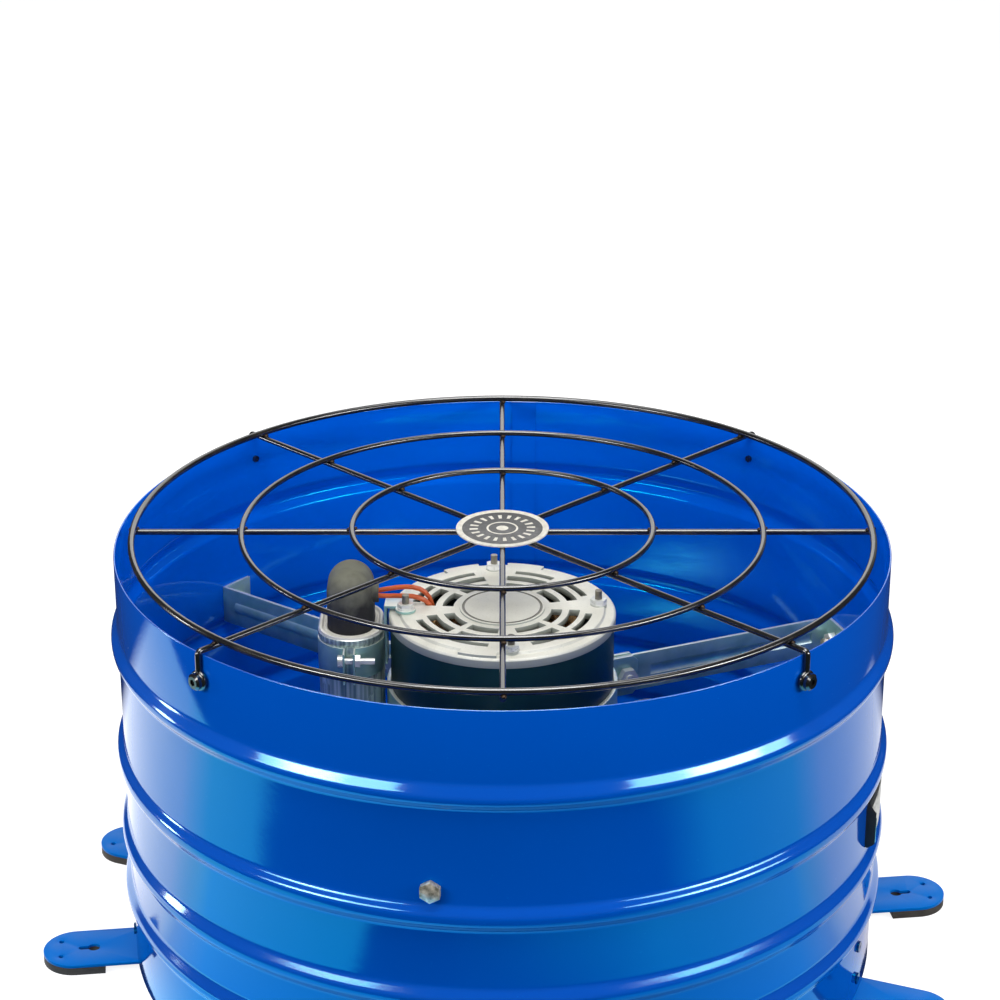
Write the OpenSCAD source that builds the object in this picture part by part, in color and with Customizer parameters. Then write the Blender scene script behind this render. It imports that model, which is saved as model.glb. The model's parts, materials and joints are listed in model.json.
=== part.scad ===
// Attic fan: a round sheet-steel housing that stands on four rubber-padded brackets.
// A capacitor motor hangs in it on three strut arms and turns a four-blade fan.
// A welded wire guard covers the open top. Millimetres, Z up, axis on Z, pads on Z = 0.

/* [Housing] */
// Outside diameter of the housing wall
housing_d = 457.2; // [450:1:480]
// Height of the housing wall
housing_h = 264; // [255:1:290]
// Thickness of the housing sheet
sheet_t = 1; // [0.8:0.1:1.2]
// Height of each rolled bead
bead_h = 15; // [14.5:0.5:17]
// How far a bead stands out of the wall
bead_out = 4; // [3:0.1:4.4]
// Length of a bead's sloping flank
bead_flank = 6; // [5:0.1:6.8]
// Drop of the first bead's middle below the rim
bead_drop_1 = 51; // [46:0.5:54]
// Drop of the second bead's middle below the rim
bead_drop_2 = 124; // [123:0.5:127]
// Drop of the third bead's middle below the rim
bead_drop_3 = 175; // [170:0.5:180]
// Drop of the fourth bead's middle below the rim
bead_drop_4 = 214; // [211:0.5:218]

/* [Brackets] */
// Thickness of a bracket strip
bracket_t = 2; // [1.5:0.1:3]
// Width of a bracket strip
bracket_w = 40; // [36:1:44]
// Reach of a bracket's foot beyond the wall
bracket_reach = 57.4; // [54:0.5:62]
// Height of a bracket's leg above its foot
bracket_leg_h = 44; // [40:1:46]
// Half the angle between a pair of brackets
bracket_half = 14.6; // [12:0.2:18]
// Distance from the wall to the keyhole's round end
keyhole_out = 26.4; // [24:0.2:30]
// Diameter of the keyhole's round end
keyhole_d = 7.5; // [6.5:0.1:8.5]
// Width of the keyhole's slot
keyhole_slot_w = 3.6; // [3:0.1:4.5]
// Length of the keyhole's slot beyond the round end's centre
keyhole_slot_l = 9.5; // [8:0.5:11]
// Distance from the wall to the screw holes
screw_hole_out = 46.4; // [43:0.2:48]
// Diameter of the screw holes
screw_hole_d = 3.2; // [2.8:0.1:4]
// Distance between a bracket's two screw holes
screw_hole_gap = 16.8; // [14:0.2:20]
// Thickness of a rubber pad
pad_t = 5; // [4:0.5:7]
// Length of a rubber pad
pad_l = 38; // [36:0.5:41]
// Diameter of a bracket rivet's shank
rivet_d = 4; // [3:0.1:4.4]
// Diameter of a bracket rivet's head
rivet_head_d = 7; // [6:0.1:8]
// Height of the lower rivet above the foot
rivet_low = 11.5; // [9:0.5:13]
// Distance between the two rivets of a bracket
rivet_gap = 22; // [18:0.5:24]

/* [Guard] */
// Wire diameter of the guard's spokes
spoke_wire = 3.5; // [3:0.1:4]
// Wire diameter of the outer ring
rim_wire = 4; // [3.5:0.1:4.5]
// Wire diameter of the two inner rings
ring_wire = 3.5; // [3:0.1:4]
// Radius of the outer ring
ring_outer_r = 218; // [214:1:221]
// Radius of the middle ring
ring_middle_r = 154; // [148:1:160]
// Radius of the inner ring
ring_inner_r = 89; // [84:1:94]
// Angle by which the guard is turned from the brackets' axis
guard_turn = 7.3; // [0:0.1:15]
// Number of straight spokes, and of spokes that end in legs
spoke_count = 4; // [4:1:4]
// Radius of the centre disc
disc_r = 27.5; // [24:0.5:32]
// Thickness of the centre disc
disc_t = 1; // [0.8:0.1:2]
// Radius at which the spokes end under the disc
spoke_in_r = 9; // [8:0.5:14]
// Drop of the leg screws below the rim
leg_screw_drop = 15; // [13:0.5:18]
// Outside diameter of the eye at a leg's end
leg_eye_d = 12; // [11.5:0.1:13]
// Bend radius of a leg, at the middle of the wire
leg_bend_r = 2.1; // [1.9:0.05:2.1]
// Diameter of a leg screw's head
leg_head_d = 9.6; // [9:0.1:11]
// Diameter of a leg screw's shank
leg_screw_d = 4.2; // [3.5:0.1:4.4]

/* [Motor] */
// Outside diameter of the motor shell
motor_d = 134.6; // [131:0.2:136]
// Thickness of the motor shell
motor_wall = 1.5; // [1:0.1:2]
// Drop of the motor's top face below the rim
motor_drop = 47.5; // [44:0.5:49]
// Overall height of the motor
motor_h = 114.5; // [110:0.5:122]
// Thickness of an end bell's plate
bell_plate = 4; // [3.5:0.1:5]
// Height of an end bell's edge
bell_edge = 7.5; // [7:0.1:9]
// How far an end bell stands out past the shell
bell_lip = 0.8; // [0.4:0.1:1.5]
// Depth of the bell's spigot inside the shell
bell_spigot = 3; // [2:0.5:5]
// Radius of the raised cap over the top bearing
cap_r = 25.6; // [24:0.2:27]
// Height of the raised cap
cap_h = 0.9; // [0.5:0.1:1.5]
// Distance of the through-bolts inside the shell's outside
bolt_in = 9.3; // [8.9:0.1:9.8]
// Diameter of a through-bolt
bolt_d = 4.2; // [3.8:0.1:4.4]
// Angle of the first through-bolt
bolt_turn = 12.3; // [8:0.1:16]
// Length of stud that stands above the nut
stud_out = 5.5; // [3:0.5:8]
// Diameter of the shaft
shaft_d = 12.7; // [12:0.1:13]
// Running clearance of the shaft in its bearings, on the radius
bearing_play = 0.05; // [0.03:0.01:0.08]
// Outside diameter of the sleeve bearings
bearing_d = 20; // [19:0.5:21]
// Length of the sleeve bearings
bearing_l = 18; // [16:0.5:19]
// Height of the stator's stack
stack_h = 46; // [44:1:48]
// Number of stator slots
slot_count = 24; // [24:4:36]
// Air gap between rotor and stator
air_gap = 0.4; // [0.3:0.05:0.6]
// Radius of the stator's bore
stator_bore_r = 35.4; // [34:0.2:36]

/* [Motor mount] */
// Drop of the belly band's top edge below the rim
band_drop = 94.5; // [91:0.5:97]
// Height of the belly band
band_h = 26; // [25.5:0.5:27]
// Thickness of the belly band
band_t = 2.5; // [2:0.1:3]
// Angle of the first arm
arm_turn = 30.5; // [28:0.5:33]
// Height of an arm
arm_h = 24.5; // [23:0.5:25]
// Thickness of an arm's plate
arm_t = 2; // [1.6:0.1:2.4]
// How far the band's ears stand out of the band
ear_l = 20.1; // [18.5:0.1:23]
// Distance of the ear bolts from the band
ear_bolt_out = 12.1; // [10.5:0.1:13]
// Length of the flange at an arm's outer end
flange_l = 22; // [20:0.5:25]
// Diameter of the arm bolts
arm_bolt_d = 6; // [5:0.1:6.4]
// Distance across the flats of the bolt heads and nuts
hex_af = 11; // [10:0.1:11.5]
// Height of a bolt head
head_h = 3.9; // [3.5:0.1:4.2]
// Height of a nut
nut_h = 4.6; // [4:0.1:5]

/* [Capacitor] */
// Short width of the oval can
can_w = 39; // [38:0.5:40]
// Long width of the oval can
can_l = 55; // [50:0.5:60]
// Height of the can
can_h = 92; // [80:1:100]
// Drop of the can's top below the rim
can_drop = 58; // [56:0.5:60]
// Gap between the motor shell and the can
can_gap = 4.3; // [4.2:0.1:6]
// Angle of the can round the axis
can_turn = 184.2; // [182:0.1:186]
// Height of the strap
strap_h = 20; // [16:0.5:24]
// Thickness of the strap
strap_t = 1.1; // [0.9:0.1:1.2]
// Drop of the strap's top edge below the can's top
strap_drop = 6; // [4:0.5:8]
// Width of the rubber boot
boot_w = 28; // [26:0.5:29]
// Length of the rubber boot
boot_l = 40; // [38:0.5:42]
// Height of the rubber boot
boot_h = 36; // [33:0.5:38]
// Diameter of the insulated leads
lead_d = 3; // [2.6:0.1:3.2]

/* [Fan] */
// Radius of the blade tips
tip_r = 205; // [195:1:210]
// Number of blades
blade_count = 4; // [3:1:5]
// Pitch of the blades
blade_pitch = 27; // [22:1:30]
// Thickness of a blade
blade_t = 1.5; // [1.2:0.1:2]
// Radius of a blade's camber
camber_r = 230; // [190:5:300]
// Chord of a blade at its root
root_chord = 66; // [56:1:72]
// Chord of a blade at its tip
tip_chord = 128; // [110:1:134]
// Radius at which a blade starts
blade_root_r = 36; // [34:1:40]
// Drop of the blades' middle plane below the rim
fan_drop = 207; // [203:0.5:210]
// Width of a spider arm
spider_w = 24; // [20:1:26]
// Thickness of a spider arm
spider_t = 3; // [2.5:0.1:4]
// Radius to which a spider arm reaches
spider_r = 92; // [84:1:100]
// Radius of the hub
hub_r = 19; // [18:0.5:21]
// Height of the hub
hub_h = 34; // [30:1:38]
// Diameter of the blade rivets
blade_rivet_d = 4.8; // [4:0.1:5.5]

/* [Hidden] */
$fn = 96;
// Gap that keeps two seated pieces apart
seat = 0.1;
// Clearance round a bolt or screw, on the radius
hole_play = 0.25;
wall_r = housing_d / 2;
inner_r = wall_r - sheet_t;
foot_z = pad_t;
sill_z = foot_z + bracket_t;
rim_z = sill_z + housing_h;
bead_drops = [bead_drop_1, bead_drop_2, bead_drop_3, bead_drop_4];
bracket_angles = [bracket_half, 180 - bracket_half, 180 + bracket_half, 360 - bracket_half];
leg_out_r = inner_r - seat;
foot_tip = wall_r + bracket_reach;
foot_round = bracket_w / 2;
rivet_zs = [sill_z + rivet_low, sill_z + rivet_low + rivet_gap];
rivet_head_h = 1.1;
spoke_z = rim_z + spoke_wire / 2 + seat;
spoke_top = spoke_z + spoke_wire / 2;
leg_r = wall_r + spoke_wire / 2 + 2 * seat;
eye_r = (leg_eye_d - spoke_wire) / 2;
leg_screw_z = rim_z - leg_screw_drop;
leg_head_h = 2.9;
motor_r = motor_d / 2;
shell_in_r = motor_r - motor_wall;
bolt_circle_r = motor_r - bolt_in;
motor_top = rim_z - motor_drop;
motor_bot = motor_top - motor_h;
bell_r = motor_r + bell_lip;
bell_step = 1.6;
bell_flat_in = 6.3;
bell_flat_r = motor_r - bell_flat_in;
vent_h = bell_plate + 2;
bell_in_z = motor_top - bell_plate;
bearing_house_r = bearing_d / 2 + 4;
bearing_r = bearing_d / 2;
shaft_r = shaft_d / 2;
bore_r = shaft_r + bearing_play;
stator_r = shell_in_r - seat;
stack_mid = (motor_top + motor_bot) / 2 + 1.5;
stack_top = stack_mid + stack_h / 2;
stack_bot = stack_mid - stack_h / 2;
rotor_r = stator_bore_r - air_gap;
slot_in = 15.3;
slot_out_r = motor_r - slot_in;
winding_out = 4.6;
winding_in_r = stator_bore_r + winding_out;
winding_h = 9;
coil_count = 12;
coil_arch_r = 8;
coil_wire_r = 3.6;
end_ring_h = 5;
end_ring_r = rotor_r - 3;
bearing_top_z = bell_in_z - bearing_l;
bearing_bot_z = motor_bot + bell_plate + bearing_l;
band_in_r = motor_r + seat;
band_r = band_in_r + band_t;
band_z = rim_z - band_drop - band_h;
arm_z = band_z + (band_h - arm_h) / 2;
mount_z = band_z + band_h / 2;
arm_in_r = band_r + 2;
ear_r = band_r + ear_l;
ear_bolt_r = band_r + ear_bolt_out;
arm_out_r = inner_r - seat - arm_t;
ear_in_y = arm_t / 2 + seat;
ear_out_y = ear_in_y + band_t;
ear_in_r = band_in_r + band_t * 0.4;
flange_bolt_turn = asin(flange_l / 2 / inner_r);
washer_h = 1.2;
can_out = motor_r + can_gap + can_w / 2;
can_top = rim_z - can_drop;
can_bot = can_top - can_h;
strap_z = can_top - strap_drop - strap_h;
strap_gap = seat;
strap_ear_gap = 5;
strap_ear_l = 9;
strap_screw_d = 4;
fan_z = rim_z - fan_drop;
hub_z = fan_z - hub_h / 2;
nut_af = 8.7;
bolt_nut_h = 3.2;
clip_t = 1.5;
clip_w = 12;
lead_steps = 10;

// One polyhedron swept along a line of points, with a round section
function unit3(v) = v / norm(v);
function tangent(p, i) = unit3(p[min(i + 1, len(p) - 1)] - p[max(i - 1, 0)]);
function side_of(t) = unit3(cross(t, [0.13, 0.21, 1]));
module swept_tube(p, r, sides = 8) {
    rings = [for (i = [0:len(p) - 1]) let (t = tangent(p, i), u = side_of(t), v = cross(t, u))
        for (k = [0:sides - 1]) p[i] + r * (cos(360 * k / sides) * u + sin(360 * k / sides) * v)];
    last = len(p) - 1;
    walls = [for (i = [0:last - 1], k = [0:sides - 1]) let (a = i * sides, b = a + sides, n = (k + 1) % sides)
        [a + k, a + n, b + n, b + k]];
    caps = [[for (k = [sides - 1:-1:0]) k], [for (k = [0:sides - 1]) last * sides + k]];
    polyhedron(points = rings, faces = concat(caps, walls));
}

// Points of an arc, from angle a0 to a1
function arc_points(cx, cy, r, a0, a1, n = 8) =
    [for (i = [0:n]) let (a = a0 + (a1 - a0) * i / n) [cx + r * cos(a), cy + r * sin(a)]];

// A flat oval: two half circles of radius r with a straight run between them
module oval(r, run) {
    square([2 * r, run], center = true);
    translate([0, run / 2]) circle(r);
    translate([0, -run / 2]) circle(r);
}

// A ring slot between two radii and two angles, cut through a plate
module ring_slot(r0, r1, a0, a1, h)
    rotate([0, 0, a0]) rotate_extrude(angle = a1 - a0) translate([r0, 0]) square([r1 - r0, h]);

module ring(r, wire, z) {
    translate([0, 0, z]) rotate_extrude() translate([r, 0]) circle(d = wire, $fn = 32);
}

module hex(af, h) cylinder(d = af / cos(30), h = h, $fn = 6);

// One side of the housing's profile, from the sill to the rim, with its beads
function bead_points(z, r) = [
    [r, z - bead_h / 2],
    [r + bead_out * 0.1, z - bead_h / 2 + bead_flank * 0.16],
    [r + bead_out * 0.9, z - bead_h / 2 + bead_flank * 0.84],
    [r + bead_out, z - bead_h / 2 + bead_flank],
    [r + bead_out, z + bead_h / 2 - bead_flank],
    [r + bead_out * 0.9, z + bead_h / 2 - bead_flank * 0.84],
    [r + bead_out * 0.1, z + bead_h / 2 - bead_flank * 0.16],
    [r, z + bead_h / 2]];
function wall_side(r) = concat(
    [[r, sill_z]],
    [for (i = [3:-1:0]) each bead_points(rim_z - bead_drops[i], r)],
    [[r, rim_z]]);
function flipped(p) = [for (i = [len(p) - 1:-1:0]) p[i]];

module wall_profile(r_out, t) polygon(concat(wall_side(r_out), flipped(wall_side(r_out - t))));

module each_bracket() for (a = bracket_angles) rotate([0, 0, a]) children();
module each_arm() for (i = [0:2]) rotate([0, 0, arm_turn + 120 * i]) children();
module each_bolt() for (i = [0:3]) rotate([0, 0, bolt_turn + 90 * i]) translate([bolt_circle_r, 0, 0]) children();
module each_leg() for (i = [0:spoke_count - 1]) rotate([0, 0, guard_turn + 45 + 360 / spoke_count * i]) children();
module radial_bore(r, z, x0, x1) translate([x0, 0, z]) rotate([0, 90, 0]) cylinder(r = r, h = x1 - x0, $fn = 32);

module housing_shell() {
    color("royalblue") difference() {
        rotate_extrude($fn = 180) wall_profile(wall_r, sheet_t);
        each_bracket() for (z = rivet_zs) radial_bore(rivet_d / 2 + hole_play, z, inner_r - 6, wall_r + 3);
        each_leg() radial_bore(leg_screw_d / 2 + hole_play, leg_screw_z, inner_r - 6, wall_r + 3);
        each_arm() rotate([0, 0, -flange_bolt_turn])
            radial_bore(arm_bolt_d / 2 + hole_play, mount_z, inner_r - 6, wall_r + 3);
    }
}

// Outline of a bracket's foot: straight sides and a round end, from x0 to the tip
module foot_outline(x0) {
    translate([x0, -foot_round]) square([foot_tip - foot_round - x0, bracket_w]);
    translate([foot_tip - foot_round, 0]) circle(foot_round);
}

module foot_holes(grow = 0) {
    keyhole_x = wall_r + keyhole_out;
    translate([keyhole_x, 0]) circle(d = keyhole_d + grow, $fn = 48);
    translate([keyhole_x, -(keyhole_slot_w + grow) / 2]) square([keyhole_slot_l - keyhole_slot_w / 2, keyhole_slot_w + grow]);
    translate([keyhole_x + keyhole_slot_l - keyhole_slot_w / 2, 0]) circle(d = keyhole_slot_w + grow, $fn = 32);
    for (s = [-1, 1]) translate([wall_r + screw_hole_out, s * screw_hole_gap / 2]) circle(d = screw_hole_d + grow, $fn = 32);
}

module bracket(i) {
    color("royalblue") rotate([0, 0, bracket_angles[i]]) difference() {
        union() {
            translate([0, 0, foot_z]) linear_extrude(bracket_t) foot_outline(leg_out_r - bracket_t / 2);
            intersection() {
                translate([0, 0, foot_z]) difference() {
                    cylinder(r = leg_out_r, h = bracket_leg_h, $fn = 180);
                    translate([0, 0, -1]) cylinder(r = leg_out_r - bracket_t, h = bracket_leg_h + 2, $fn = 180);
                }
                translate([0, -bracket_w / 2, foot_z]) cube([wall_r, bracket_w, bracket_leg_h]);
            }
        }
        translate([0, 0, foot_z - 1]) linear_extrude(bracket_t + 2) foot_holes();
        for (z = rivet_zs) radial_bore(rivet_d / 2 + hole_play, z, leg_out_r - 8, wall_r + 3);
    }
}

module pad(i) {
    color("dimgray") rotate([0, 0, bracket_angles[i]]) difference() {
        linear_extrude(pad_t) foot_outline(foot_tip - pad_l);
        translate([0, 0, -1]) linear_extrude(pad_t + 2) foot_holes(1);
    }
}

module bracket_rivets() {
    color("mediumblue") each_bracket() for (z = rivet_zs) difference() {
        union() {
            radial_bore(rivet_d / 2, z, leg_out_r - bracket_t - seat - 1.6, wall_r + seat + 0.2);
            radial_bore(rivet_head_d / 2, z, wall_r + seat, wall_r + seat + rivet_head_h);
            radial_bore(rivet_d / 2 + 0.9, z, leg_out_r - bracket_t - seat - 1.8, leg_out_r - bracket_t - seat);
        }
        radial_bore(rivet_d / 2 - 1, z, wall_r - 1.5, wall_r + 3);
    }
}

module motor_shell() {
    color("darkslategray") translate([0, 0, motor_bot + bell_edge]) difference() {
        cylinder(r = motor_r, h = motor_h - 2 * bell_edge, $fn = 128);
        translate([0, 0, -1]) cylinder(r = shell_in_r, h = motor_h, $fn = 128);
    }
}

// Vent rows: inner and outer radius as parts of the motor's, and half the rib at a through-bolt, in degrees
vent_rows = [[0.438, 0.535, 9], [0.597, 0.6925, 9], [0.746, 0.808, 14]];
// Half the rib midway between two through-bolts, in degrees
vent_rib = 3.5;

// A cast end bell with its face at the top, drawn about z = 0 at the outer face
module bell_body() {
    bell_profile = [
        [0, 0], [bell_flat_r, 0], [bell_flat_r + 1, -bell_step], [bell_r - 1.2, -bell_step],
        [bell_r, -bell_step - 1.2], [bell_r, -bell_edge], [shell_in_r - seat, -bell_edge],
        [shell_in_r - seat, -bell_edge - bell_spigot], [shell_in_r - 3.5, -bell_edge - bell_spigot],
        [shell_in_r - 3.5, -bell_plate - 1], [shell_in_r - 4.5, -bell_plate],
        [bearing_house_r, -bell_plate], [bearing_house_r, -bell_plate - bearing_l - 1], [0, -bell_plate - bearing_l - 1]];
    difference() {
        union() {
            difference() {
                rotate_extrude($fn = 128) polygon(bell_profile);
                for (row = vent_rows, k = [0:3]) translate([0, 0, -bell_plate - 1]) {
                    ring_slot(row[0] * motor_r, row[1] * motor_r, 90 * k + row[2], 90 * k + 45 - vent_rib, vent_h);
                    ring_slot(row[0] * motor_r, row[1] * motor_r, 90 * k + 45 + vent_rib, 90 * k + 90 - row[2], vent_h);
                }
            }
            for (i = [0:3]) rotate([0, 0, 90 * i]) translate([bolt_circle_r, 0, -bell_plate - 1])
                cylinder(r = 5, h = bell_plate + 1.4, $fn = 48);
        }
        for (i = [0:3]) rotate([0, 0, 90 * i]) translate([bolt_circle_r, 0, -bell_edge - 6])
            cylinder(r = bolt_d / 2 + hole_play, h = bell_edge + 10, $fn = 32);
    }
}

module end_bell_top() {
    color("gainsboro") translate([0, 0, motor_top]) rotate([0, 0, bolt_turn]) difference() {
        union() {
            bell_body();
            difference() {
                cylinder(r = cap_r, h = cap_h, $fn = 96);
                translate([0, 0, cap_h - 0.5]) difference() {
                    cylinder(r = cap_r - 1.6, h = 1, $fn = 96);
                    translate([0, 0, -1]) cylinder(r = cap_r - 2.8, h = 3, $fn = 96);
                }
            }
            for (a = [62, 98, 242]) ring_pad(a);
        }
        translate([0, 0, -bell_plate - bearing_l - 2]) cylinder(r = bearing_r + seat, h = bearing_l + 2, $fn = 64);
    }
}

// A cast land on the bell's lower edge step
module ring_pad(a) {
    rotate([0, 0, a]) rotate_extrude(angle = 20) translate([bell_flat_r - 0.5, -bell_step - 1])
        square([bell_r - bell_flat_r - 1.2, bell_step + 1]);
}

module end_bell_bottom() {
    color("gainsboro") translate([0, 0, motor_bot]) rotate([0, 0, bolt_turn]) mirror([0, 0, 1]) difference() {
        bell_body();
        translate([0, 0, -bell_plate - bearing_l - 2]) cylinder(r = bearing_r + seat, h = bearing_l + 2, $fn = 64);
        translate([0, 0, -bell_plate - 2]) cylinder(r = shaft_r + 1, h = bell_plate + 4, $fn = 64);
    }
}

module stator_core() {
    slot_w = 3.4;
    color("slategray") translate([0, 0, stack_bot]) difference() {
        cylinder(r = stator_r, h = stack_h, $fn = 128);
        translate([0, 0, -1]) cylinder(r = stator_bore_r, h = stack_h + 2, $fn = 128);
        for (i = [0:slot_count - 1]) rotate([0, 0, bolt_turn + 360 / slot_count * (i + 0.5)])
            translate([stator_bore_r - 2, -slot_w / 2, -1]) cube([slot_out_r - stator_bore_r + 2, slot_w, stack_h + 2]);
        translate([0, 0, -1]) each_bolt() cylinder(r = bolt_d / 2 + hole_play, h = stack_h + 2, $fn = 32);
    }
}

// One crown of end turns: a bound ring with the coil heads arched over it
module end_turns() {
    mid = (winding_in_r + slot_out_r) / 2;
    rotate_extrude($fn = 96) translate([winding_in_r, 0]) square([slot_out_r - winding_in_r, winding_h]);
    for (i = [0:coil_count - 1]) rotate([0, 0, 360 / coil_count * i]) translate([mid, 0, winding_h - 1])
        rotate([90, 0, 90]) rotate_extrude(angle = 180, $fn = 40) translate([coil_arch_r, 0]) circle(coil_wire_r, $fn = 20);
}

module stator_windings() {
    color("peru") {
        translate([0, 0, stack_top + seat]) end_turns();
        translate([0, 0, stack_bot - seat]) mirror([0, 0, 1]) end_turns();
    }
}

module rotor_core() {
    color("slategray") translate([0, 0, stack_bot]) difference() {
        cylinder(r = rotor_r, h = stack_h, $fn = 96);
        translate([0, 0, -1]) cylinder(r = bore_r, h = stack_h + 2, $fn = 64);
    }
}

// Cast end rings of the rotor, each with its fins
module rotor_end_rings() {
    fin_count = 8;
    color("silver") for (z = [stack_top + seat, stack_bot - seat - end_ring_h]) translate([0, 0, z]) difference() {
        cylinder(r = end_ring_r, h = end_ring_h, $fn = 96);
        translate([0, 0, -1]) cylinder(r = end_ring_r - 9, h = end_ring_h + 2, $fn = 96);
        for (i = [0:fin_count - 1]) rotate([0, 0, 360 / fin_count * i]) translate([end_ring_r - 4, -1.5, end_ring_h - 2])
            cube([8, 3, 4]);
    }
}

module motor_shaft() {
    shaft_top = bell_in_z - 1.5;
    shaft_bot = hub_z - 3;
    flat = 0.8;
    color("lightgray") difference() {
        union() {
            translate([0, 0, shaft_bot + 1]) cylinder(r = shaft_r, h = shaft_top - shaft_bot - 1, $fn = 64);
            translate([0, 0, shaft_bot]) cylinder(r1 = shaft_r - 1, r2 = shaft_r, h = 1, $fn = 64);
        }
        translate([shaft_r - flat, -shaft_r, shaft_bot - 1]) cube([2, shaft_d, hub_h + 5]);
    }
}

module bearing(z) {
    color("darkgoldenrod") translate([0, 0, z]) difference() {
        cylinder(r = bearing_r, h = bearing_l, $fn = 64);
        translate([0, 0, -1]) cylinder(r = bore_r, h = bearing_l + 2, $fn = 64);
    }
}
module bearing_top() bearing(bearing_top_z - seat);
module bearing_bottom() bearing(bearing_bot_z - bearing_l + seat);

// Spacer collars that hold the rotor endwise between the two bearings
module thrust_collars() {
    end_play = 0.3;
    top_z = stack_top + seat;
    bot_z = stack_bot - seat;
    color("silver") {
        collar(top_z, bearing_top_z - seat - end_play);
        collar(bearing_bot_z + seat + end_play, bot_z);
    }
}
module collar(z0, z1) translate([0, 0, z0]) difference() {
    cylinder(r = shaft_r + 3.5, h = z1 - z0, $fn = 64);
    translate([0, 0, -1]) cylinder(r = bore_r, h = z1 - z0 + 2, $fn = 64);
}

// The first bolt after the quarter turn away also holds the capacitor's clip
function nut_lift(i) = i == 2 ? clip_t + seat : 0;

module through_bolts() {
    top = motor_top + 0.4 + bolt_nut_h + stud_out;
    color("silver") for (i = [0:3]) rotate([0, 0, bolt_turn + 90 * i]) translate([bolt_circle_r, 0, 0]) {
        translate([0, 0, motor_bot - 1]) cylinder(r = bolt_d / 2, h = top + nut_lift(i) - motor_bot + 1, $fn = 32);
        translate([0, 0, motor_bot - 0.4 - seat - bolt_nut_h]) hex(nut_af, bolt_nut_h);
    }
}

module through_bolt_nuts() {
    flange_h = 0.9;
    color("whitesmoke") for (i = [0:3]) rotate([0, 0, bolt_turn + 90 * i])
        translate([bolt_circle_r, 0, motor_top + 0.4 + seat + nut_lift(i)]) difference() {
            union() {
                cylinder(r = 5, h = flange_h, $fn = 48);
                hex(nut_af, bolt_nut_h);
            }
            translate([0, 0, -1]) cylinder(r = bolt_d / 2 + seat / 2, h = bolt_nut_h + 2, $fn = 32);
        }
}

// Plan of one ear beside the arm at angle 0, on the side that s names
module ear_plan(s) translate([ear_in_r, s > 0 ? ear_in_y : -ear_out_y]) square([ear_r - ear_in_r, band_t]);

// Bolt hole and trimmed outer corners of the ear at angle 0
module ear_cuts() {
    trim = 5;
    translate([ear_bolt_r, 0, mount_z]) rotate([90, 0, 0])
        cylinder(r = arm_bolt_d / 2 + hole_play, h = 4 * ear_out_y, center = true, $fn = 32);
    for (z = [band_z, band_z + band_h]) translate([ear_r, 0, z]) rotate([0, 45, 0])
        cube([trim, 4 * ear_out_y, trim], center = true);
}

module band_segment(i) {
    start = asin((ear_in_y + band_t * 0.6) / band_r);
    reach = 2 * band_r;
    color("silver") rotate([0, 0, arm_turn + 120 * i]) difference() {
        translate([0, 0, band_z]) linear_extrude(band_h) {
            intersection() {
                difference() {
                    circle(band_r, $fn = 128);
                    circle(band_in_r, $fn = 128);
                }
                polygon(concat([[0, 0]], [for (a = [start, 60, 120 - start]) reach * [cos(a), sin(a)]]));
            }
            ear_plan(1);
            rotate(120) ear_plan(-1);
        }
        ear_cuts();
        rotate([0, 0, 120]) ear_cuts();
    }
}

// A pressed strut: flat at the ears, ribbed along its run, bent flat against the wall
module arm(i) {
    rib_r = 5.5;
    rib_sink = 3;
    rib_x0 = ear_r + 8;
    rib_x1 = arm_out_r - 9;
    color("silver") rotate([0, 0, arm_turn + 120 * i]) difference() {
        union() {
            translate([arm_in_r, -arm_t / 2, arm_z]) cube([arm_out_r + arm_t / 2 - arm_in_r, arm_t, arm_h]);
            intersection() {
                translate([rib_x0, -rib_sink, mount_z]) rotate([0, 90, 0]) cylinder(r = rib_r, h = rib_x1 - rib_x0, $fn = 48);
                translate([rib_x0, -arm_t / 4, mount_z - rib_r]) cube([rib_x1 - rib_x0, rib_r * 2, 2 * rib_r]);
            }
            intersection() {
                translate([0, 0, arm_z]) difference() {
                    cylinder(r = arm_out_r + arm_t, h = arm_h, $fn = 180);
                    translate([0, 0, -1]) cylinder(r = arm_out_r, h = arm_h + 2, $fn = 180);
                }
                translate([0, -flange_l, arm_z]) cube([wall_r, flange_l + arm_t / 2, arm_h]);
            }
        }
        translate([rib_x0 + 2, -rib_sink, mount_z]) rotate([0, 90, 0])
            cylinder(r = rib_r - arm_t * 0.7, h = rib_x1 - rib_x0 - 4, $fn = 48);
        translate([ear_bolt_r, 0, mount_z]) rotate([90, 0, 0])
            cylinder(r = arm_bolt_d / 2 + hole_play, h = 10, center = true, $fn = 32);
        rotate([0, 0, -flange_bolt_turn]) radial_bore(arm_bolt_d / 2 + hole_play, mount_z, arm_out_r - 5, wall_r + 3);
    }
}

module band_bolts() {
    color("silver") each_arm() translate([ear_bolt_r, ear_out_y + seat, mount_z]) rotate([90, 0, 0]) {
        translate([0, 0, -head_h]) hex(hex_af, head_h);
        cylinder(r = arm_bolt_d / 2, h = 2 * ear_out_y + 2 * seat + nut_h + 2, $fn = 32);
    }
}

module hex_nut() difference() {
    hex(hex_af, nut_h);
    translate([0, 0, -1]) cylinder(r = arm_bolt_d / 2 + seat / 2, h = nut_h + 2, $fn = 32);
}

module band_nuts() {
    color("silver") each_arm() translate([ear_bolt_r, -ear_out_y - seat, mount_z]) rotate([90, 0, 0]) hex_nut();
}

module arm_bolts() {
    color("silver") each_arm() rotate([0, 0, -flange_bolt_turn]) translate([wall_r + seat, 0, mount_z]) rotate([0, 90, 0]) {
        hex(hex_af, head_h);
        translate([0, 0, -sheet_t - 2 * seat - arm_t - nut_h - 4]) cylinder(r = arm_bolt_d / 2, h = sheet_t + arm_t + nut_h + 5, $fn = 32);
    }
}

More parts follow.
